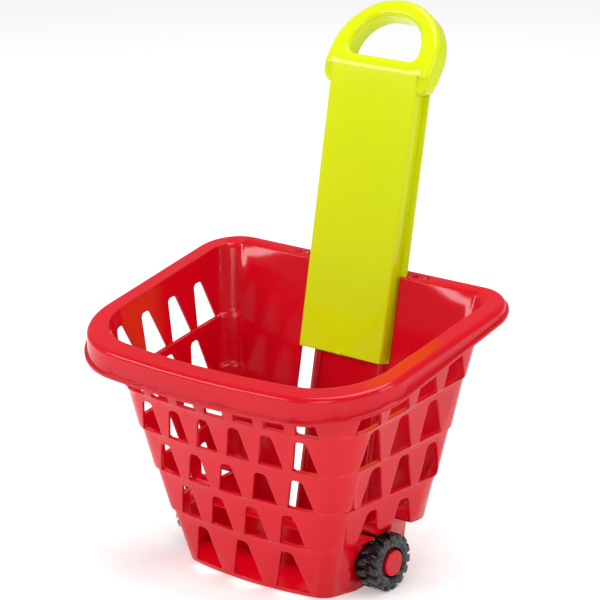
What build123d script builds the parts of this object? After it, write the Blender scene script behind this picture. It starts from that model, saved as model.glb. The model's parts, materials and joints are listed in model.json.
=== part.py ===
from build123d import *
import os
from math import cos, degrees, radians, sin, tan

os.makedirs("parts", exist_ok=True)

# A toy shopping trolley: a flared moulded basket on two wheels, with a panel handle that slides in its
# rear wall. Origin on the floor, under the middle of the basket's front half.
# +X to the wheel_right side, +Y to the rear, +Z up. All sizes are in millimetres.

# Basket
basket_height = 214.0
wall = 2.2
rim_tilt = 9.0
tilt_growth = 1.8
rear_lean = 13.0
top_front_half = 138.5
top_rear_half = 141.5
top_front_y = -57.0
top_front_bow = 14.4
top_front_radius = 56.0
top_rear_radius = 18.0
floor_front_half = 71.6
floor_rear_half = 102.0
floor_front_y = -13.0
floor_front_bow = 9.0
floor_front_radius = 15.0
front_radius_growth = 2.0
floor_rear_radius = 16.0
floor_rear_y = 72.6

# Steps that ring the front and the sides
first_ledge = 162.2
ledge_pitch = 38.4
ledge_count = 4
step_in = 2.0
ledge_lip = 1.4

# Rim
rim_out = 17.5
skirt_drop = 20.5
skirt_rise = 2.8
rim_nose_radius = 4.6
lip_out = 20.0
lip_height = 2.6

# Openings in the walls, one row above each ledge, and in front one more above the floor
front_counts = [7, 6, 5, 4, 3]
front_widths = [21.0, 24.0, 25.0, 24.5, 32.0]
front_pitches = [30.0, 32.3, 34.5, 35.8, 44.8]
front_heights = [36.0, 28.0, 27.0, 28.6, 36.0]
side_counts = [4, 3, 3, 2]
side_widths = [27.0, 26.5, 24.5, 22.0]
side_starts = [-21.0, -8.5, 5.0, 12.0]
side_pitches = [35.0, 36.0, 33.0, 35.0]
side_heights = [36.0, 33.0, 32.0, 28.0]
opening_tip = 10.5
opening_tip_radius = 4.8

# Wheels and axle
wheel_y = 32.0
wheel_radius = 24.5
wheel_width = 22.0
wheel_face_x = 108.0
axle_radius = 2.5
axle_running = 0.08
side_gap = 0.4
arch_gap = 2.2
arch_side_gap = 3.0
tunnel_half_width = 9.0
tunnel_rise = 8.5
boss_radius = 5.8
boss_length = 12.0
boss_proud = 1.6
tread_height = 3.0
tread_shoulder = 3.0
tread_wall = 3.2
lug_count = 15
lug_width = 6.2
lug_skew = 16.0
web_thickness = 3.0
wheel_hub_radius = 7.5
hub_cap_radius = 11.0
hub_cap_wall = 1.8
hub_cap_proud = 1.3
hub_cap_edge = 1.2
hub_cap_fit = 0.05
recess_gap = 2.0
recess_depth = 5.8
collar_height = 2.6
push_nut_radius = 6.0
push_nut_thickness = 1.0
axle_proud = 1.6
nub_pairs = 6
nub_radius = 1.2
nub_height = 0.8
nub_spread = 8.0

# Handle, its slot and the guide behind it
panel_half = 43.0
panel_top_half = 44.6
panel_draft = 1.4
panel_stand_out = 8.6
panel_wall = 2.3
panel_length = 243.0
panel_kept = 74.0
panel_edge = 2.0
flange_width = 6.1
flange_gap = 0.5
flange_thickness = 2.5
slot_gap = 2.2
pass_gap = 1.2
slot_bottom = 12.0
guide_gap = 0.7
guide_thickness = 2.4
guide_inset = 7.0
guide_rail = 4.6
guide_rail_width = 3.0
guide_rail_inset = 6.0
guide_head_out = 21.3
guide_head_height = 13.0
guide_foot = 4.0
guide_foot_out = 10.3
guide_foot_height = 12.0
hook_width = 5.0
hook_clearance = 0.3
hook_proud = 0.8
hook_outs = [5.8, 15.8]
peg_height = 4.0
peg_proud = 1.2
stop_width = 14.0
stop_height = 5.0
stop_gap = 0.6
stop_reach = 1.0

# Ring at the top of the handle
head_lean = 38.0
head_out = 11.4
head_height = 66.0
head_radius = 53.0
head_thickness = 17.0
head_wall = 2.6
head_edge = 5.4
grip_side = 19.0
grip_bottom = 12.3
grip_top = 50.5
grip_top_radius = 31.0
grip_bottom_radius = 7.0
grip_edge = 4.6
shoulder_drop = 17.0
shoulder_recess = 1.5
shoulder_radius = 10.0
shoulder_edge = 4.0
tab_radius = 2.4
tab_proud = 1.2

# Places worked out from the sizes
reach = 250.0
overshoot = 5.0
lean = radians(rear_lean)
ledges = [first_ledge - ledge_pitch * i for i in range(ledge_count)]
flange_front = wall + flange_gap
flange_back = flange_front + flange_thickness
guide_front = flange_back + guide_gap
hook_back = guide_front + guide_thickness
plate_front = guide_front + guide_rail
flange_half = panel_half + panel_draft + flange_width
slot_half = panel_half + panel_draft + slot_gap
pass_half = flange_half + pass_gap
guide_half = slot_half - guide_inset
guide_head_half = pass_half + guide_head_out
guide_foot_half = pass_half + guide_foot_out
hook_places = [pass_half + out for out in hook_outs]
head_half = panel_half + head_out
grip_half = head_half - grip_side
arch_radius = wheel_radius + arch_gap
tunnel_top = wheel_radius + tunnel_rise
arch_inner_x = wheel_face_x - wheel_width - arch_side_gap
boss_end_x = arch_inner_x + boss_proud
recess_x = wheel_face_x - recess_depth
nut_x = recess_x + side_gap


def tilt_at(height):
    """Tilt of the ring that crosses the origin's axis at this height, from level floor to rim."""
    return radians(rim_tilt * (height / basket_height) ** tilt_growth)


def ring_plane(height):
    """Plane of one ring of the basket."""
    tilt = tilt_at(height)
    return Plane(origin=(0, 0, height), x_dir=(1, 0, 0), z_dir=(0, -sin(tilt), cos(tilt)))


def between(at_floor, at_top, height, growth=1):
    """Value of a size that grows from the floor of the basket to its top, evenly with growth 1."""
    return at_floor + (at_top - at_floor) * (height / basket_height) ** growth


def rear_wall_y(height):
    """Where a ring meets the inner face of the flat, leaning rear wall."""
    return (floor_rear_y + height * tan(lean)) / (1 - tan(tilt_at(height)) * tan(lean))


def front_wall_y(height):
    """Middle of the bowed front wall at a ring."""
    bow = between(floor_front_bow, top_front_bow, height)
    return between(floor_front_y, top_front_y, height) - bow / 2


def ring(height, grow, rear_grow):
    """Outline of the basket at one ring: bowed front, straight sides and rear, round corners."""
    front_half = between(floor_front_half, top_front_half, height) + grow
    rear_half = between(floor_rear_half, top_rear_half, height) + grow
    front_radius = between(floor_front_radius, top_front_radius, height, front_radius_growth) + grow
    rear_radius = between(floor_rear_radius, top_rear_radius, height) + rear_grow
    bow = between(floor_front_bow, top_front_bow, height)
    stretch = cos(tilt_at(height))
    front = (between(floor_front_y, top_front_y, height) - grow) / stretch
    rear = (rear_wall_y(height) + rear_grow / cos(lean)) / stretch
    with BuildSketch(ring_plane(height)) as outline:
        with BuildLine():
            ThreePointArc((-front_half, front), (0, front - bow), (front_half, front))
            Line((front_half, front), (rear_half, rear))
            Line((rear_half, rear), (-rear_half, rear))
            Line((-rear_half, rear), (-front_half, front))
        make_face()
        fillet(outline.vertices().group_by(Axis.Y)[0], radius=front_radius)
        fillet(outline.vertices().group_by(Axis.Y)[-1], radius=rear_radius)
    return outline.sketch


def tapered_opening(width, height):
    """One opening: wide flat foot, straight sides and a round tip."""
    with BuildSketch() as opening:
        with BuildLine():
            Polyline(
                (-width / 2, 0),
                (width / 2, 0),
                (opening_tip / 2, height),
                (-opening_tip / 2, height),
                close=True,
            )
        make_face()
        fillet(opening.vertices().group_by(Axis.Y)[-1], radius=opening_tip_radius)
    return opening.sketch


def arch_profile(grow):
    """Side view of a wheel arch: round over the wheel, open to the rear and below."""
    radius = arch_radius + grow
    with BuildSketch(Plane.YZ.offset(-reach)) as profile:
        with Locations((wheel_y, wheel_radius)):
            Circle(radius)
            Rectangle(2 * radius, reach, align=(Align.CENTER, Align.MAX))
        with Locations((wheel_y, wheel_radius + radius)):
            Rectangle(reach, reach, align=(Align.MIN, Align.MAX))
    return profile.sketch


def housings(grow):
    """Space of both wheel arches and of the axle tunnel, grown into the hollow by a wall."""
    with BuildPart() as space:
        extrude(arch_profile(grow), amount=2 * reach, dir=(1, 0, 0))
        Box(2 * (arch_inner_x - grow), 2 * reach, 2 * reach, mode=Mode.SUBTRACT)
        with Locations((0, wheel_y, tunnel_top + grow)):
            Box(
                2 * (arch_inner_x - wall + grow),
                2 * (tunnel_half_width + grow),
                reach,
                align=(Align.CENTER, Align.CENTER, Align.MAX),
            )
    return space.part


# Frame of the sliding handle: x across, y out of the rear wall, z up along the slide
slide_axis = Vector(0, sin(lean), cos(lean))
rear_axis = Vector(0, cos(lean), -sin(lean))
slide_origin = Vector(0, floor_rear_y, 0)


def across_slide(distance):
    """Plane square to the slide, at a distance up the rear wall from the floor."""
    return Plane(origin=slide_origin + slide_axis * distance, x_dir=(1, 0, 0), z_dir=slide_axis)


def along_slide(depth):
    """Plane parallel to the rear wall, at a depth behind its inner face: x across, y up the wall."""
    return Plane(origin=slide_origin + rear_axis * depth, x_dir=(1, 0, 0), z_dir=-rear_axis)


def rim_on_slide(depth):
    """Distance up the rear wall to the rim's flat top, at a depth behind the wall's inner face."""
    slope = tan(radians(rim_tilt))
    rise = basket_height + slope * floor_rear_y + depth * (sin(lean) + slope * cos(lean))
    return rise / (cos(lean) - slope * sin(lean))


# Hollow of the basket, with the housings of the axle and the wheels left standing in it
with BuildPart() as hollow:
    tops = [basket_height + overshoot] + [ledge + wall for ledge in ledges]
    bottoms = [ledge + wall for ledge in ledges] + [wall]
    for tier, (top, bottom) in enumerate(zip(tops, bottoms)):
        loft([ring(top, -step_in if tier else 0, 0), ring(bottom, 0, 0)], ruled=True)
    add(housings(wall), mode=Mode.SUBTRACT)

# Rim: flat band, rounded nose, a skirt that gets less deep towards the rear, and a lip at its foot
rim_plane = ring_plane(basket_height)
skirt_tilt = radians(rim_tilt + skirt_rise)
skirt_foot = Plane(
    origin=rim_plane.from_local_coords((0, top_front_y - rim_out, -skirt_drop)),
    x_dir=(1, 0, 0),
    z_dir=(0, -sin(skirt_tilt), cos(skirt_tilt)),
)
with BuildPart() as under_rim:
    inner_ring = ring(basket_height, rim_out - wall, rim_out - wall)
    extrude(inner_ring.moved(Location(rim_plane.z_dir * -wall)), amount=2 * skirt_drop, dir=(0, 0, -1))
    fillet(under_rim.faces().sort_by(Axis.Z)[-1].edges(), radius=rim_nose_radius - wall)
with BuildPart() as lip:
    extrude(ring(basket_height, lip_out, lip_out), amount=2 * skirt_drop, dir=(0, 0, -1))
    split(bisect_by=skirt_foot.offset(lip_height), keep=Keep.BOTTOM)
with BuildPart() as rim:
    extrude(ring(basket_height, rim_out, rim_out), amount=2 * skirt_drop, dir=(0, 0, -1))
    fillet(rim.faces().sort_by(Axis.Z)[-1].edges(), radius=rim_nose_radius)
    add(lip.part)
    split(bisect_by=skirt_foot)
    add(under_rim.part, mode=Mode.SUBTRACT)

# Basket: stepped shell, rim, axle bosses, openings, and the cuts for the handle and its guide
guide_top = rim_on_slide(guide_front) - 2 * wall
panel_bottom = rim_on_slide(0) - panel_kept
hook_rows = [side * place for side in (-1, 1) for place in hook_places]
with BuildPart() as basket:
    for tier, (top, bottom) in enumerate(zip([basket_height] + ledges, ledges + [0])):
        loft([ring(top, wall - step_in if tier else wall, wall), ring(bottom, wall, wall)], ruled=True)
    add(rim.part)
    add(housings(0), mode=Mode.SUBTRACT)
    add(hollow.part, mode=Mode.SUBTRACT)
    for side in (-1, 1):
        with BuildSketch(Plane.YZ.offset(side * boss_end_x)) as boss:
            with Locations((wheel_y, wheel_radius)):
                Circle(boss_radius)
        extrude(amount=-side * boss_length)
    with BuildSketch(Plane.YZ.offset(-reach)) as axle_hole:
        with Locations((wheel_y, wheel_radius)):
            Circle(axle_radius)
    extrude(amount=2 * reach, mode=Mode.SUBTRACT)
    # openings in front
    with BuildSketch(Plane.XZ) as front_openings:
        for row, foot in enumerate([ledge + ledge_lip for ledge in ledges] + [wall + ledge_lip]):
            with Locations((0, foot + front_wall_y(foot) * tan(tilt_at(foot)))):
                with GridLocations(front_pitches[row], 1, front_counts[row], 1):
                    add(tapered_opening(front_widths[row], front_heights[row]))
    extrude(amount=top_front_bow - top_front_y + rim_out / 2, mode=Mode.SUBTRACT)
    # openings in both sides
    for row, foot in enumerate([ledge + ledge_lip for ledge in ledges]):
        inside = between(floor_front_half, top_front_half, foot) - 2 * ledge_lip
        outside = top_rear_half + rim_out / 2
        for side in (-1, 1):
            with BuildSketch(Plane.YZ.offset(side * inside)) as side_openings:
                for i in range(side_counts[row]):
                    y = side_starts[row] + side_pitches[row] * i
                    on_ring = (y, foot + y * tan(tilt_at(foot)), 0)
                    with Locations(Location(on_ring, (0, 0, degrees(tilt_at(foot))))):
                        add(tapered_opening(side_widths[row], side_heights[row]))
            extrude(amount=side * (outside - inside), mode=Mode.SUBTRACT)
    # slot for the panel, and the passage for its flanges through the rim
    with BuildSketch(across_slide(slot_bottom)) as slot:
        with Locations((0, -overshoot)):
            Rectangle(2 * slot_half, guide_front + overshoot, align=(Align.CENTER, Align.MIN))
    extrude(amount=reach, mode=Mode.SUBTRACT)
    with BuildSketch(across_slide(rim_on_slide(0) - 2 * skirt_drop)) as passage:
        with Locations((0, wall)):
            Rectangle(2 * pass_half, guide_front - wall, align=(Align.CENTER, Align.MIN))
    extrude(amount=reach, mode=Mode.SUBTRACT)
    # slots for the guide's hooks in the rim and for its pegs in the rear wall
    with BuildSketch(across_slide(guide_top)) as hook_slots:
        for x in hook_rows:
            with Locations((x, guide_front + guide_thickness / 2)):
                Rectangle(hook_width + 2 * hook_clearance, guide_thickness + 2 * hook_clearance)
    extrude(amount=skirt_drop, mode=Mode.SUBTRACT)
    with BuildSketch(along_slide(wall)) as peg_slots:
        for side in (-1, 1):
            with Locations((side * hook_places[0], guide_foot + guide_foot_height / 2)):
                Rectangle(hook_width + 2 * hook_clearance, peg_height + 2 * hook_clearance)
    extrude(amount=wall, mode=Mode.SUBTRACT)
basket.part.label = "basket"
export_step(basket.part, "parts/basket.step")

# Guide behind the rear wall: a plate with two rails and the stop, between a head and a foot bar
with BuildPart() as back_guide:
    with BuildSketch(along_slide(plate_front)) as plate:
        with Locations((0, guide_foot)):
            Rectangle(2 * guide_half, guide_top - guide_foot, align=(Align.CENTER, Align.MIN))
            Rectangle(2 * guide_foot_half, guide_foot_height, align=(Align.CENTER, Align.MIN))
        with Locations((0, guide_top)):
            Rectangle(2 * guide_head_half, guide_head_height, align=(Align.CENTER, Align.MAX))
    extrude(amount=-guide_thickness)
    with BuildSketch(along_slide(plate_front)) as rails:
        with Locations((0, guide_top)):
            Rectangle(2 * guide_head_half, guide_head_height, align=(Align.CENTER, Align.MAX))
        for side in (-1, 1):
            with Locations((side * (guide_half - guide_rail_inset), guide_foot)):
                Rectangle(guide_rail_width, guide_top - guide_foot, align=(Align.CENTER, Align.MIN))
    extrude(amount=guide_rail)
    # pads that meet the rear wall beside the slot
    with BuildSketch(along_slide(plate_front)) as pads:
        for side in (-1, 1):
            edge = Align.MIN if side > 0 else Align.MAX
            with Locations((side * pass_half, guide_foot)):
                Rectangle(guide_foot_half - pass_half, guide_foot_height, align=(edge, Align.MIN))
            with Locations((side * pass_half, guide_top)):
                Rectangle(guide_head_half - pass_half, guide_head_height, align=(edge, Align.MAX))
    extrude(amount=plate_front - wall)
    # hooks up through the rim and pegs through the rear wall
    with BuildSketch(across_slide(guide_top)) as hooks:
        for x in hook_rows:
            with Locations((x, guide_front + guide_thickness / 2)):
                Rectangle(hook_width, guide_thickness)
    extrude(amount=rim_on_slide(hook_back) + hook_proud - guide_top)
    with BuildSketch(along_slide(wall)) as pegs:
        for side in (-1, 1):
            with Locations((side * hook_places[0], guide_foot + guide_foot_height / 2)):
                Rectangle(hook_width, peg_height)
    extrude(amount=wall + peg_proud)
    # stop that the handle's end wall meets when the handle is pulled out
    with BuildSketch(along_slide(plate_front)) as stop:
        with Locations((0, panel_bottom + panel_wall + stop_gap)):
            Rectangle(stop_width, stop_height, align=(Align.CENTER, Align.MIN))
    extrude(amount=plate_front + stop_reach)
back_guide.part.label = "back_guide"
export_step(back_guide.part, "parts/back_guide.step")

# Handle: a hat-shaped panel with a closed lower end, and a leaning ring with two shoulders
panel_top = panel_bottom + panel_length
bend = slide_origin + slide_axis * panel_top + rear_axis * -panel_stand_out
head_tilt = radians(head_lean)
head_plane = Plane(origin=bend, x_dir=(1, 0, 0), z_dir=(0, -cos(head_tilt), sin(head_tilt)))


def head_outline(inset):
    """Outside of the ring: straight sides that run into one round top."""
    with BuildSketch(head_plane.offset(-head_thickness)) as outline:
        with Locations((0, inset)):
            Rectangle(2 * (head_half - inset), head_height - 2 * inset, align=(Align.CENTER, Align.MIN))
        fillet(outline.vertices().group_by(Axis.Y)[-1], radius=head_radius - inset)
    return outline.sketch


def grip_outline(grow):
    """Finger opening of the ring."""
    with BuildSketch(head_plane.offset(-head_thickness)) as outline:
        with Locations((0, grip_bottom - grow)):
            height = grip_top - grip_bottom + 2 * grow
            Rectangle(2 * (grip_half + grow), height, align=(Align.CENTER, Align.MIN))
        fillet(outline.vertices().group_by(Axis.Y)[-1], radius=grip_top_radius + grow)
        fillet(outline.vertices().group_by(Axis.Y)[0], radius=grip_bottom_radius + grow)
    return outline.sketch


with BuildPart() as channel:
    depth = head_thickness - head_wall
    extrude(head_outline(head_wall), amount=depth, dir=head_plane.z_dir)
    extrude(grip_outline(head_wall), amount=depth, dir=head_plane.z_dir, mode=Mode.SUBTRACT)

with BuildPart() as head:
    extrude(head_outline(0), amount=head_thickness, dir=head_plane.z_dir)
    outside_edges = head.faces().filter_by(head_plane).sort_by(Axis.Y)[0].edges()
    fillet(outside_edges.sort_by(Axis.Z)[1:], radius=head_edge)
    extrude(grip_outline(0), amount=head_thickness, dir=head_plane.z_dir, mode=Mode.SUBTRACT)
    grip_edges = head.faces().filter_by(head_plane).sort_by(Axis.Y)[0].inner_wires()[0].edges()
    fillet(grip_edges, radius=grip_edge)

shoulder_front = shoulder_recess - panel_stand_out
with BuildPart() as shoulders:
    with BuildSketch(along_slide(flange_back)) as shoulder_outline:
        with Locations((0, panel_top - shoulder_drop)):
            Rectangle(2 * head_half, shoulder_drop + shoulder_recess, align=(Align.CENTER, Align.MIN))
        fillet(shoulder_outline.vertices().group_by(Axis.Y)[0], radius=shoulder_radius)
    extrude(amount=flange_back - shoulder_front)
    front_edges = shoulders.faces().sort_by(Axis.Y)[0].edges()
    fillet(front_edges.sort_by(Axis.Z)[:-1], radius=shoulder_edge)

def panel_section(distance, half):
    """Hat-shaped section of the panel, with a flange along each side."""
    with BuildSketch(across_slide(distance)) as section:
        with BuildLine():
            Polyline(
                (-flange_half, flange_back),
                (-flange_half, flange_front),
                (-half - panel_draft, flange_front),
                (-half, -panel_stand_out),
                (half, -panel_stand_out),
                (half + panel_draft, flange_front),
                (flange_half, flange_front),
                (flange_half, flange_back),
                close=True,
            )
        make_face()
        fillet(section.vertices().group_by(Axis.Y)[0], radius=panel_edge)
    return section.sketch


def panel_hollow(distance, half):
    """Section of the panel's open back."""
    with BuildSketch(across_slide(distance)) as section:
        with BuildLine():
            Polyline(
                (panel_wall - half - panel_draft, flange_back),
                (panel_wall - half, panel_wall - panel_stand_out),
                (half - panel_wall, panel_wall - panel_stand_out),
                (half + panel_draft - panel_wall, flange_back),
                close=True,
            )
        make_face()
    return section.sketch


with BuildPart() as handle:
    loft([panel_section(panel_bottom, panel_half), panel_section(panel_top, panel_top_half)], ruled=True)
    add(shoulders.part)
    add(head.part)
    hollow_foot = panel_hollow(panel_bottom + panel_wall, panel_half)
    hollow_top = panel_hollow(panel_top + panel_wall - shoulder_drop, panel_top_half)
    loft([hollow_foot, hollow_top], ruled=True, mode=Mode.SUBTRACT)
    add(channel.part, mode=Mode.SUBTRACT)
    with BuildSketch(along_slide(-panel_stand_out)) as tab:
        with Locations((0, panel_bottom)):
            Circle(tab_radius)
            Rectangle(2 * tab_radius, 2 * tab_radius, align=(Align.CENTER, Align.MAX), mode=Mode.SUBTRACT)
    extrude(amount=tab_proud)
handle.part.label = "handle"
export_step(handle.part, "parts/handle.step")

# Axle, pressed into the bosses of the basket
axle_half = nut_x + push_nut_thickness + axle_proud
with BuildPart() as axle:
    with BuildSketch(Plane.YZ.offset(-axle_half)) as axle_section:
        with Locations((wheel_y, wheel_radius)):
            Circle(axle_radius)
    extrude(amount=2 * axle_half)
axle.part.label = "axle"
export_step(axle.part, "parts/axle.step")

# The wheel's half section lies above the axle: x along the axle, y out from it
wheel_section = Plane(origin=(0, wheel_y, wheel_radius), x_dir=(1, 0, 0), z_dir=(0, -1, 0))
wheel_axis = Axis((0, wheel_y, wheel_radius), (1, 0, 0))
wheel_inner_x = wheel_face_x - wheel_width
tyre_radius = wheel_radius - tread_height
recess_radius = hub_cap_radius + recess_gap
bore_radius = axle_radius + axle_running
cap_inner_radius = hub_cap_radius - hub_cap_wall
web_x = recess_x - web_thickness

with BuildPart() as lugs:
    for row in range(2):
        row_x = wheel_inner_x + wheel_width * (1 + 2 * row) / 4
        turn = 180 / lug_count * row
        skew = lug_skew * (1 - 2 * row)
        with Locations(Plane(origin=(row_x, wheel_y, wheel_radius), x_dir=(0, 1, 0), z_dir=(1, 0, 0))):
            with PolarLocations(wheel_radius - tread_height, lug_count, start_angle=turn):
                Box(3 * tread_height, lug_width, wheel_width / 2, rotation=(skew, 0, 0))
    with BuildSketch(wheel_section) as envelope:
        with Locations((wheel_inner_x, 0)):
            Rectangle(wheel_width, wheel_radius, align=(Align.MIN, Align.MIN))
        chamfer(envelope.vertices().group_by(Axis.Y)[-1], length=tread_shoulder / 2)
    revolve(axis=wheel_axis, mode=Mode.INTERSECT)

with BuildPart() as wheel_right:
    with BuildSketch(wheel_section) as wheel_profile:
        with Locations((wheel_inner_x, bore_radius)):
            Rectangle(wheel_width, tyre_radius - bore_radius, align=(Align.MIN, Align.MIN))
        fillet(wheel_profile.vertices().group_by(Axis.Y)[-1], radius=tread_shoulder)
        # hollow side towards the basket, between the tread and the hub
        with Locations((wheel_inner_x, wheel_hub_radius)):
            Rectangle(
                web_x - wheel_inner_x,
                tyre_radius - tread_wall - wheel_hub_radius,
                align=(Align.MIN, Align.MIN),
                mode=Mode.SUBTRACT,
            )
        # recess for the hub cap, with the collar that the cap snaps over
        with Locations((wheel_face_x, 0)):
            Rectangle(recess_depth, recess_radius, align=(Align.MAX, Align.MIN), mode=Mode.SUBTRACT)
        with Locations((recess_x, push_nut_radius + side_gap)):
            Rectangle(
                collar_height,
                cap_inner_radius - hub_cap_fit - push_nut_radius - side_gap,
                align=(Align.MIN, Align.MIN),
            )
        # hub that runs on the axle, up to the boss of the basket
        with Locations((boss_end_x + side_gap, bore_radius)):
            Rectangle(
                web_x - boss_end_x - side_gap,
                wheel_hub_radius - bore_radius,
                align=(Align.MIN, Align.MIN),
            )
    revolve(axis=wheel_axis)
    add(lugs.part)
    nub_circle = (recess_radius + tyre_radius) / 2
    with BuildSketch(Plane(origin=(wheel_face_x, wheel_y, wheel_radius), x_dir=(0, 1, 0), z_dir=(1, 0, 0))):
        for spread in (-nub_spread, nub_spread):
            with PolarLocations(nub_circle, nub_pairs, start_angle=90 + spread):
                Circle(nub_radius)
    extrude(amount=nub_height)
wheel_right.part.label = "wheel_right"

# Hub cap: a shallow dish that hides the axle's end
with BuildPart() as hub_cap_right:
    with BuildSketch(wheel_section) as cap_profile:
        with Locations((recess_x, 0)):
            Rectangle(recess_depth + hub_cap_proud, hub_cap_radius, align=(Align.MIN, Align.MIN))
            Rectangle(
                recess_depth + hub_cap_proud - hub_cap_wall,
                cap_inner_radius,
                align=(Align.MIN, Align.MIN),
                mode=Mode.SUBTRACT,
            )
        fillet(cap_profile.vertices().group_by(Axis.Y)[-1].sort_by(Axis.X)[-1], radius=hub_cap_edge)
    revolve(axis=wheel_axis)
hub_cap_right.part.label = "hub_cap_right"

# Push nut: a steel washer gripped on the axle, which keeps the wheel on
with BuildPart() as push_nut_right:
    with BuildSketch(Plane(origin=(nut_x, wheel_y, wheel_radius), x_dir=(0, 1, 0), z_dir=(1, 0, 0))):
        Circle(push_nut_radius)
        Circle(axle_radius, mode=Mode.SUBTRACT)
    extrude(amount=push_nut_thickness)
push_nut_right.part.label = "push_nut_right"

for piece in (wheel_right.part, hub_cap_right.part, push_nut_right.part):
    export_step(piece, f"parts/{piece.label}.step")
    with BuildPart() as opposite:
        mirror(piece, about=Plane.YZ)
    opposite.part.label = piece.label.replace("right", "left")
    export_step(opposite.part, f"parts/{opposite.part.label}.step")
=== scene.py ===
import bpy
import bmesh
import json
from math import cos, pi, radians, sin
from mathutils import Matrix, Vector

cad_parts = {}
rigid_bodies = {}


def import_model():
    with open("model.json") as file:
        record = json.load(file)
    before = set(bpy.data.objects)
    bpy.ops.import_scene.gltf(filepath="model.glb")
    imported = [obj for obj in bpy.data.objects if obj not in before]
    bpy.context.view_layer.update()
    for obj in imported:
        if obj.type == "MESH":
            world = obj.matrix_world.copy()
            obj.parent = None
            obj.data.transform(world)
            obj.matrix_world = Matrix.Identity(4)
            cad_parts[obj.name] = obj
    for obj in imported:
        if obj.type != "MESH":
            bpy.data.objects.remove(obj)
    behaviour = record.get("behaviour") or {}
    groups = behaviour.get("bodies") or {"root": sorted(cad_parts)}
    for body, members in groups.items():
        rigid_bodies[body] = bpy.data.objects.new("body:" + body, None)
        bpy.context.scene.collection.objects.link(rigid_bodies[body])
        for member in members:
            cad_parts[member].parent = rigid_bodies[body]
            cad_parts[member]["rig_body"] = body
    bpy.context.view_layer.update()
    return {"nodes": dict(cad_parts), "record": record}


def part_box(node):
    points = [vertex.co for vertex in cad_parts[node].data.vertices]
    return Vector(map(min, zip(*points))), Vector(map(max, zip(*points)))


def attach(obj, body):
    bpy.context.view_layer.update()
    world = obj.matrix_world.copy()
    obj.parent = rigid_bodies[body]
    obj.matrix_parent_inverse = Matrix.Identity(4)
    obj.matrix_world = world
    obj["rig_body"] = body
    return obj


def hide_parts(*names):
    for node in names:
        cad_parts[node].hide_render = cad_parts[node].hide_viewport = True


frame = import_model()
nodes = frame["nodes"]
print("frame loaded:", len(nodes), "CAD nodes")


def addNode(tree, kind, place, **values):
    node = tree.nodes.new(kind)
    node.location = place
    for name, value in values.items():
        setattr(node, name, value)
    return node


def linkAll(tree, pairs):
    for start, end in pairs:
        tree.links.new(start, end)


def newTree(name, inputs, outputs):
    tree = bpy.data.node_groups.new(name, "ShaderNodeTree")
    for label, value in inputs:
        socket = tree.interface.new_socket(name=label, in_out="INPUT", socket_type="NodeSocketFloat")
        socket.default_value = value
    for label in outputs:
        tree.interface.new_socket(name=label, in_out="OUTPUT", socket_type="NodeSocketFloat")
    return tree


# how the rubbed patches are cut from their noise and stretched up the object, and the noise in each layer
skinNoise = {"rubFrom": 0.58, "rubTo": 0.82, "rubStretch": (1.0, 1.0, 0.25), "rubRoughness": 0.7,
             "driftDetail": 3.0, "peelDetail": 2.0, "rubDetail": 8.0}


def makeMouldedSkin():
    # slow colour drift, fine orange peel and a few rubbed patches, all in object space
    tree = newTree("mouldedSkin",
                   [("Drift Scale", 9.0), ("Peel Scale", 700.0), ("Rub Scale", 45.0), ("Rub Amount", 0.4)],
                   ["Drift", "Rub", "Height"])
    entry = addNode(tree, "NodeGroupInput", (-900, 0))
    leave = addNode(tree, "NodeGroupOutput", (600, 0))
    place = addNode(tree, "ShaderNodeTexCoord", (-900, 300))
    drift = addNode(tree, "ShaderNodeTexNoise", (-600, 300))
    drift.inputs["Detail"].default_value = skinNoise["driftDetail"]
    peel = addNode(tree, "ShaderNodeTexNoise", (-600, 0))
    peel.inputs["Detail"].default_value = skinNoise["peelDetail"]
    rub = addNode(tree, "ShaderNodeTexNoise", (-600, -300))
    rub.inputs["Detail"].default_value = skinNoise["rubDetail"]
    rub.inputs["Roughness"].default_value = skinNoise["rubRoughness"]
    streak = addNode(tree, "ShaderNodeMapping", (-750, -500))
    streak.inputs["Scale"].default_value = skinNoise["rubStretch"]
    pick = addNode(tree, "ShaderNodeMapRange", (-300, -300))
    pick.inputs["From Min"].default_value = skinNoise["rubFrom"]
    pick.inputs["From Max"].default_value = skinNoise["rubTo"]
    scaled = addNode(tree, "ShaderNodeMath", (-50, -300), operation="MULTIPLY")
    linkAll(tree, [
        (place.outputs["Object"], drift.inputs["Vector"]),
        (place.outputs["Object"], peel.inputs["Vector"]),
        (place.outputs["Object"], streak.inputs["Vector"]),
        (streak.outputs["Vector"], rub.inputs["Vector"]),
        (entry.outputs["Drift Scale"], drift.inputs["Scale"]),
        (entry.outputs["Peel Scale"], peel.inputs["Scale"]),
        (entry.outputs["Rub Scale"], rub.inputs["Scale"]),
        (rub.outputs["Fac"], pick.inputs["Value"]),
        (pick.outputs["Result"], scaled.inputs[0]),
        (entry.outputs["Rub Amount"], scaled.inputs[1]),
        (drift.outputs["Fac"], leave.inputs["Drift"]),
        (scaled.outputs["Value"], leave.inputs["Rub"]),
        (peel.outputs["Fac"], leave.inputs["Height"]),
    ])
    return tree


mouldedSkin = makeMouldedSkin()


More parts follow.
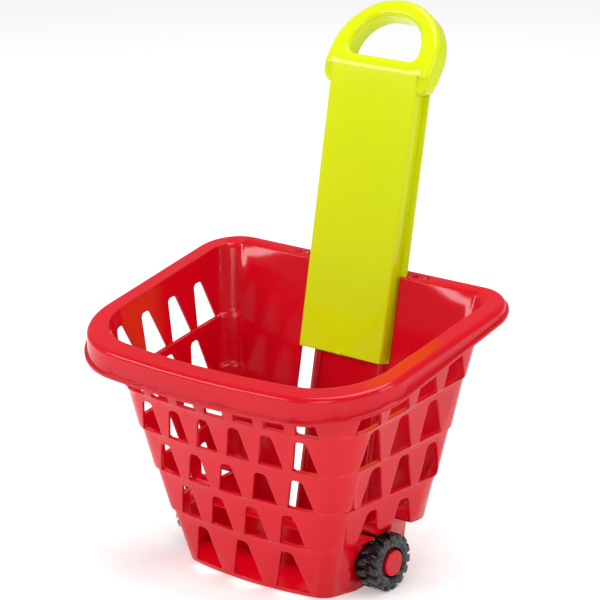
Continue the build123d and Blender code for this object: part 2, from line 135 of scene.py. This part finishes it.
redPlastic = {
    "name": "redPlastic", "deep": (0.52, 0.0, 0.006), "light": (0.68, 0.001, 0.014),
    "gloss": 0.13, "rubbed": 0.24, "peel": 0.00003, "edge": 0.0017, "level": 0.3,
    "drift": 7.0, "grain": 620.0, "rub": 38.0, "rubAmount": 0.5,
}
limePlastic = {
    "name": "limePlastic", "deep": (0.56, 0.66, 0.0), "light": (0.66, 0.74, 0.002),
    "gloss": 0.14, "rubbed": 0.26, "peel": 0.00003, "edge": 0.0022, "level": 0.32,
    "drift": 8.0, "grain": 620.0, "rub": 42.0, "rubAmount": 0.4,
}
blackPlastic = {
    "name": "blackPlastic", "deep": (0.006, 0.006, 0.007), "light": (0.014, 0.014, 0.016),
    "gloss": 0.2, "rubbed": 0.42, "peel": 0.00006, "edge": 0.0008, "level": 0.5,
    "drift": 60.0, "grain": 900.0, "rub": 160.0, "rubAmount": 0.7,
}


def makePlastic(recipe):
    material = bpy.data.materials.new(recipe["name"])
    material.use_nodes = True
    tree = material.node_tree
    shader = tree.nodes["Principled BSDF"]
    skin = addNode(tree, "ShaderNodeGroup", (-700, 100), node_tree=mouldedSkin)
    skin.inputs["Drift Scale"].default_value = recipe["drift"]
    skin.inputs["Peel Scale"].default_value = recipe["grain"]
    skin.inputs["Rub Scale"].default_value = recipe["rub"]
    skin.inputs["Rub Amount"].default_value = recipe["rubAmount"]
    tone = addNode(tree, "ShaderNodeMix", (-400, 200), data_type="RGBA")
    tone.inputs[6].default_value = (*recipe["deep"], 1)
    tone.inputs[7].default_value = (*recipe["light"], 1)
    finish = addNode(tree, "ShaderNodeMapRange", (-400, -50))
    finish.inputs["To Min"].default_value = recipe["gloss"]
    finish.inputs["To Max"].default_value = recipe["rubbed"]
    edge = addNode(tree, "ShaderNodeBevel", (-600, -350), samples=6)
    edge.inputs["Radius"].default_value = recipe["edge"]
    bump = addNode(tree, "ShaderNodeBump", (-350, -300))
    bump.inputs["Strength"].default_value = 0.5
    bump.inputs["Distance"].default_value = recipe["peel"]
    shader.inputs["Specular IOR Level"].default_value = recipe["level"]
    linkAll(tree, [
        (skin.outputs["Drift"], tone.inputs[0]),
        (tone.outputs[2], shader.inputs["Base Color"]),
        (skin.outputs["Rub"], finish.inputs["Value"]),
        (finish.outputs["Result"], shader.inputs["Roughness"]),
        (skin.outputs["Height"], bump.inputs["Height"]),
        (edge.outputs["Normal"], bump.inputs["Normal"]),
        (bump.outputs["Normal"], shader.inputs["Normal"]),
    ])
    return material


# drawing lines run along the axle, so their noise is stretched along X
drawnSteel = {"name": "drawnSteel", "base": (0.52, 0.52, 0.54), "shade": 0.75, "gloss": 0.25, "rough": 0.5,
              "lineScale": 2400.0, "lineStretch": (0.04, 1.0, 1.0)}


def makeSteel(recipe):
    material = bpy.data.materials.new(recipe["name"])
    material.use_nodes = True
    tree = material.node_tree
    shader = tree.nodes["Principled BSDF"]
    shader.inputs["Metallic"].default_value = 1.0
    place = addNode(tree, "ShaderNodeTexCoord", (-1000, 0))
    along = addNode(tree, "ShaderNodeMapping", (-800, 0))
    along.inputs["Scale"].default_value = recipe["lineStretch"]
    lines = addNode(tree, "ShaderNodeTexNoise", (-600, 0))
    lines.inputs["Scale"].default_value = recipe["lineScale"]
    tone = addNode(tree, "ShaderNodeMix", (-350, 150), data_type="RGBA")
    tone.inputs[6].default_value = (*[value * recipe["shade"] for value in recipe["base"]], 1)
    tone.inputs[7].default_value = (*recipe["base"], 1)
    finish = addNode(tree, "ShaderNodeMapRange", (-350, -100))
    finish.inputs["To Min"].default_value = recipe["gloss"]
    finish.inputs["To Max"].default_value = recipe["rough"]
    linkAll(tree, [
        (place.outputs["Object"], along.inputs["Vector"]),
        (along.outputs["Vector"], lines.inputs["Vector"]),
        (lines.outputs["Fac"], tone.inputs[0]),
        (tone.outputs[2], shader.inputs["Base Color"]),
        (lines.outputs["Fac"], finish.inputs["Value"]),
        (finish.outputs["Result"], shader.inputs["Roughness"]),
    ])
    return material


red = makePlastic(redPlastic)
lime = makePlastic(limePlastic)
black = makePlastic(blackPlastic)
steel = makeSteel(drawnSteel)
print("materials made")


mouldings = {
    "basket": {"material": red, "crease": 24.0},
    "back_guide": {"material": red, "crease": 24.0},
    "handle": {"material": lime, "crease": 24.0},
    "wheel_left": {"material": black, "crease": 28.0},
    "wheel_right": {"material": black, "crease": 28.0},
    "hub_cap_left": {"material": red, "crease": 30.0},
    "hub_cap_right": {"material": red, "crease": 30.0},
}


skinCleaning = {"merge": 0.000002, "faceWeight": 80}


def smoothCopy(node, recipe):
    # the CAD skin with its doubles merged, so that rounded edges shade as one surface
    mesh = nodes[node].data.copy()
    skin = bmesh.new()
    skin.from_mesh(mesh)
    bmesh.ops.remove_doubles(skin, verts=skin.verts, dist=skinCleaning["merge"])
    skin.to_mesh(mesh)
    skin.free()
    mesh.materials.clear()
    mesh.materials.append(recipe["material"])
    for polygon in mesh.polygons:
        polygon.use_smooth = True
    mesh.set_sharp_from_angle(angle=radians(recipe["crease"]))
    piece = bpy.data.objects.new(node.replace("_", "") + "Moulding", mesh)
    bpy.context.scene.collection.objects.link(piece)
    weigh = piece.modifiers.new("faceWeight", "WEIGHTED_NORMAL")
    weigh.keep_sharp = True
    weigh.weight = skinCleaning["faceWeight"]
    bpy.context.view_layer.update()
    shaded = bpy.data.meshes.new_from_object(piece.evaluated_get(bpy.context.evaluated_depsgraph_get()))
    piece.modifiers.clear()
    piece.data = shaded
    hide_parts(node)
    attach(piece, nodes[node]["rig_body"])


for node, recipe in mouldings.items():
    smoothCopy(node, recipe)
for node in ("axle", "push_nut_left", "push_nut_right"):
    nodes[node].data.materials.clear()
    nodes[node].data.materials.append(steel)
print("mouldings shaded")


# stiffening ribs across the open back of the handle's panel
joints = frame["record"]["behaviour"]["joints"]
upSlide = Vector(next(joint["axis"] for joint in joints if joint["name"] == "handle_slide"))
lean = pi / 2 - upSlide.angle(Vector((0, 1, 0)))
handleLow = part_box("handle")[0]
# inside is the panel's inner face, front and back are how far the handle reaches past the slide's own plane
handleRibs = {
    "count": 9, "pitch": 0.0235, "first": 0.018, "width": 0.0806, "height": 0.0036, "thickness": 0.0016,
    "inside": 0.0063, "front": 0.0098, "back": 0.0052, "seed": 4,
}


def addSocket(tree, label, kind):
    return tree.interface.new_socket(name=label, in_out="INPUT", socket_type=kind).identifier


def meshFromNodes(name, tree, values):
    # the tree's result as a plain mesh on an object at the origin
    holder = bpy.data.objects.new(name + "Grown", bpy.data.meshes.new(name + "Seed"))
    bpy.context.scene.collection.objects.link(holder)
    grow = holder.modifiers.new("grow", "NODES")
    grow.node_group = tree
    for identifier, value in values.items():
        grow[identifier] = value
    bpy.context.view_layer.update()
    mesh = bpy.data.meshes.new_from_object(holder.evaluated_get(bpy.context.evaluated_depsgraph_get()))
    holder.modifiers.clear()
    bpy.data.objects.remove(holder)
    piece = bpy.data.objects.new(name, mesh)
    bpy.context.scene.collection.objects.link(piece)
    return piece


def makeRibTree():
    tree = bpy.data.node_groups.new("ribRow", "GeometryNodeTree")
    tree.interface.new_socket(name="Geometry", in_out="INPUT", socket_type="NodeSocketGeometry")
    tree.interface.new_socket(name="Geometry", in_out="OUTPUT", socket_type="NodeSocketGeometry")
    names = {
        "count": addSocket(tree, "Rib Count", "NodeSocketInt"),
        "start": addSocket(tree, "First Rib", "NodeSocketVector"),
        "step": addSocket(tree, "Rib Step", "NodeSocketVector"),
        "size": addSocket(tree, "Rib Size", "NodeSocketVector"),
        "turn": addSocket(tree, "Rib Turn", "NodeSocketVector"),
        "seed": addSocket(tree, "Seed", "NodeSocketInt"),
        "material": addSocket(tree, "Rib Material", "NodeSocketMaterial"),
    }
    entry = addNode(tree, "NodeGroupInput", (-900, 0))
    leave = addNode(tree, "NodeGroupOutput", (900, 0))
    line = addNode(tree, "GeometryNodeMeshLine", (-600, 200), mode="OFFSET")
    bar = addNode(tree, "GeometryNodeMeshCube", (-600, -200))
    scatter = addNode(tree, "FunctionNodeRandomValue", (-600, -450), data_type="FLOAT_VECTOR")
    scatter.inputs["Min"].default_value = (1.0, 0.9, 1.0)
    scatter.inputs["Max"].default_value = (1.0, 1.0, 1.0)
    place = addNode(tree, "GeometryNodeInstanceOnPoints", (-200, 100))
    realize = addNode(tree, "GeometryNodeRealizeInstances", (200, 100))
    finish = addNode(tree, "GeometryNodeSetMaterial", (500, 100))
    linkAll(tree, [
        (entry.outputs["Rib Count"], line.inputs["Count"]),
        (entry.outputs["First Rib"], line.inputs["Start Location"]),
        (entry.outputs["Rib Step"], line.inputs["Offset"]),
        (entry.outputs["Rib Size"], bar.inputs["Size"]),
        (entry.outputs["Seed"], scatter.inputs["Seed"]),
        (line.outputs["Mesh"], place.inputs["Points"]),
        (bar.outputs["Mesh"], place.inputs["Instance"]),
        (entry.outputs["Rib Turn"], place.inputs["Rotation"]),
        (scatter.outputs["Value"], place.inputs["Scale"]),
        (place.outputs["Instances"], realize.inputs["Geometry"]),
        (realize.outputs["Geometry"], finish.inputs["Geometry"]),
        (entry.outputs["Rib Material"], finish.inputs["Material"]),
        (finish.outputs["Geometry"], leave.inputs["Geometry"]),
    ])
    return tree, names


def makeHandleRibs(recipe):
    tree, names = makeRibTree()
    rearwards = Vector((0, cos(lean), -sin(lean)))
    foot = Vector((0, handleLow[1] + recipe["front"] * cos(lean), handleLow[2] + recipe["back"] * sin(lean)))
    first = foot + upSlide * recipe["first"] - rearwards * (recipe["inside"] - recipe["height"] / 2)
    return meshFromNodes("handleRibs", tree, {
        names["count"]: recipe["count"],
        names["start"]: first,
        names["step"]: upSlide * recipe["pitch"],
        names["size"]: Vector((recipe["width"], recipe["height"], recipe["thickness"])),
        names["turn"]: Vector((-lean, 0, 0)),
        names["seed"]: recipe["seed"],
        names["material"]: lime,
    })


handleRibsPiece = makeHandleRibs(handleRibs)
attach(handleRibsPiece, "handle")
print("handle ribs made:", len(handleRibsPiece.data.polygons), "faces")


# spokes in the hollow side of each wheel, between the hub and the tread
wheelSpokes = {"count": 6, "inner": 0.0072, "outer": 0.0188, "width": 0.0018, "from": 0.0035, "deep": 0.0125}


def makeSpokeTree():
    tree = bpy.data.node_groups.new("spokeRing", "GeometryNodeTree")
    tree.interface.new_socket(name="Geometry", in_out="INPUT", socket_type="NodeSocketGeometry")
    tree.interface.new_socket(name="Geometry", in_out="OUTPUT", socket_type="NodeSocketGeometry")
    names = {
        "count": addSocket(tree, "Spoke Count", "NodeSocketInt"),
        "radius": addSocket(tree, "Spoke Middle Radius", "NodeSocketFloat"),
        "size": addSocket(tree, "Spoke Size", "NodeSocketVector"),
        "centre": addSocket(tree, "Wheel Centre", "NodeSocketVector"),
        "turn": addSocket(tree, "Axle Turn", "NodeSocketVector"),
        "material": addSocket(tree, "Spoke Material", "NodeSocketMaterial"),
    }
    entry = addNode(tree, "NodeGroupInput", (-900, 0))
    leave = addNode(tree, "NodeGroupOutput", (1100, 0))
    circle = addNode(tree, "GeometryNodeMeshCircle", (-600, 200))
    where = addNode(tree, "GeometryNodeInputPosition", (-600, 0))
    face = addNode(tree, "FunctionNodeAlignRotationToVector", (-400, 0), axis="X")
    bar = addNode(tree, "GeometryNodeMeshCube", (-600, -200))
    place = addNode(tree, "GeometryNodeInstanceOnPoints", (-150, 100))
    realize = addNode(tree, "GeometryNodeRealizeInstances", (200, 100))
    stand = addNode(tree, "GeometryNodeTransform", (450, 100))
    finish = addNode(tree, "GeometryNodeSetMaterial", (750, 100))
    linkAll(tree, [
        (entry.outputs["Spoke Count"], circle.inputs["Vertices"]),
        (entry.outputs["Spoke Middle Radius"], circle.inputs["Radius"]),
        (entry.outputs["Spoke Size"], bar.inputs["Size"]),
        (where.outputs["Position"], face.inputs["Vector"]),
        (circle.outputs["Mesh"], place.inputs["Points"]),
        (bar.outputs["Mesh"], place.inputs["Instance"]),
        (face.outputs["Rotation"], place.inputs["Rotation"]),
        (place.outputs["Instances"], realize.inputs["Geometry"]),
        (realize.outputs["Geometry"], stand.inputs["Geometry"]),
        (entry.outputs["Wheel Centre"], stand.inputs["Translation"]),
        (entry.outputs["Axle Turn"], stand.inputs["Rotation"]),
        (stand.outputs["Geometry"], finish.inputs["Geometry"]),
        (entry.outputs["Spoke Material"], finish.inputs["Material"]),
        (finish.outputs["Geometry"], leave.inputs["Geometry"]),
    ])
    return tree, names


def makeWheelSpokes(name, wheel, recipe, tree, names):
    low, high = (Vector(corner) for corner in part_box(wheel))
    side = 1 if high.x > 0 else -1
    inner = low.x if side > 0 else high.x
    centre = (low + high) / 2
    centre.x = inner + side * (recipe["from"] + recipe["deep"] / 2)
    piece = meshFromNodes(name, tree, {
        names["count"]: recipe["count"],
        names["radius"]: (recipe["inner"] + recipe["outer"]) / 2,
        names["size"]: Vector((recipe["outer"] - recipe["inner"], recipe["width"], recipe["deep"])),
        names["centre"]: centre,
        names["turn"]: Vector((0, pi / 2, 0)),
        names["material"]: black,
    })
    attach(piece, wheel)
    return piece


spokeTree, spokeNames = makeSpokeTree()
for name, wheel in (("wheelSpokesLeft", "wheel_left"), ("wheelSpokesRight", "wheel_right")):
    spokes = makeWheelSpokes(name, wheel, wheelSpokes, spokeTree, spokeNames)
    print(name, "made:", len(spokes.data.polygons), "faces")


stageSizes = {"floor": 16.0, "floorDrop": 0.0003, "floorTone": (0.9, 0.9, 0.9), "floorGlow": 0.3}
floorMesh = bpy.data.meshes.new("floor")
half = stageSizes["floor"] / 2
outline = ((-half, -half), (half, -half), (half, half), (-half, half))
floorMesh.from_pydata([(x, y, -stageSizes["floorDrop"]) for x, y in outline], [], [(0, 1, 2, 3)])
floor = bpy.data.objects.new("floor", floorMesh)
bpy.context.scene.collection.objects.link(floor)
paper = bpy.data.materials.new("paper")
paper.use_nodes = True
paperShader = paper.node_tree.nodes["Principled BSDF"]
paperShader.inputs["Base Color"].default_value = (*stageSizes["floorTone"], 1)
paperShader.inputs["Roughness"].default_value = 0.9
paperShader.inputs["Specular IOR Level"].default_value = 0.1
paperShader.inputs["Emission Color"].default_value = (1.0, 1.0, 1.0, 1)
paperShader.inputs["Emission Strength"].default_value = stageSizes["floorGlow"]
floorMesh.materials.append(paper)

lights = {
    "topSoftbox": {"place": (0.1, 0.3, 2.3), "aim": (0, 0.05, 0.2), "size": (2.0, 1.2), "power": 38.0},
    "leftStrip": {"place": (-1.55, -1.8, 1.3), "aim": (0, 0.05, 0.3), "size": (1.6, 0.5), "power": 24.0},
    "frontSoftbox": {"place": (0.9, -2.6, 1.5), "aim": (0, 0.05, 0.2), "size": (1.2, 1.2), "power": 18.0},
    "rightFill": {"place": (2.4, 0.4, 1.2), "aim": (0, 0.05, 0.2), "size": (0.8, 1.2), "power": 14.0},
}


def aimed(place, aim):
    return (Vector(place) - Vector(aim)).to_track_quat("Z", "Y").to_matrix().to_4x4()


for name, recipe in lights.items():
    lamp = bpy.data.lights.new(name, "AREA")
    lamp.shape = "RECTANGLE"
    lamp.size, lamp.size_y = recipe["size"]
    lamp.energy = recipe["power"]
    holder = bpy.data.objects.new(name, lamp)
    holder.matrix_world = Matrix.Translation(recipe["place"]) @ aimed(recipe["place"], recipe["aim"])
    bpy.context.scene.collection.objects.link(holder)

world = bpy.data.worlds.new("studio")
world.use_nodes = True
world.node_tree.nodes["Background"].inputs["Color"].default_value = (1.0, 1.0, 1.0, 1)
world.node_tree.nodes["Background"].inputs["Strength"].default_value = 0.38
bpy.context.scene.world = world
bpy.context.scene.view_settings.view_transform = "Standard"

cameraSizes = {
    "place": (1.40616, -1.69036, 0.96913),
    "right": (0.78217, 0.62272, -0.02057),
    "up": (-0.18100, 0.25869, 0.94885),
    "back": (0.59619, -0.73844, 0.31506),
    "lens": 171.35,
}
lens = bpy.data.cameras.new("camera")
lens.lens = cameraSizes["lens"]
lens.sensor_width = 36.0
lens.clip_end = 60.0
camera = bpy.data.objects.new("camera", lens)
turn = Matrix((cameraSizes["right"], cameraSizes["up"], cameraSizes["back"])).transposed().to_4x4()
camera.matrix_world = Matrix.Translation(cameraSizes["place"]) @ turn
bpy.context.scene.collection.objects.link(camera)
bpy.context.scene.camera = camera
print("stage, lights and camera set")
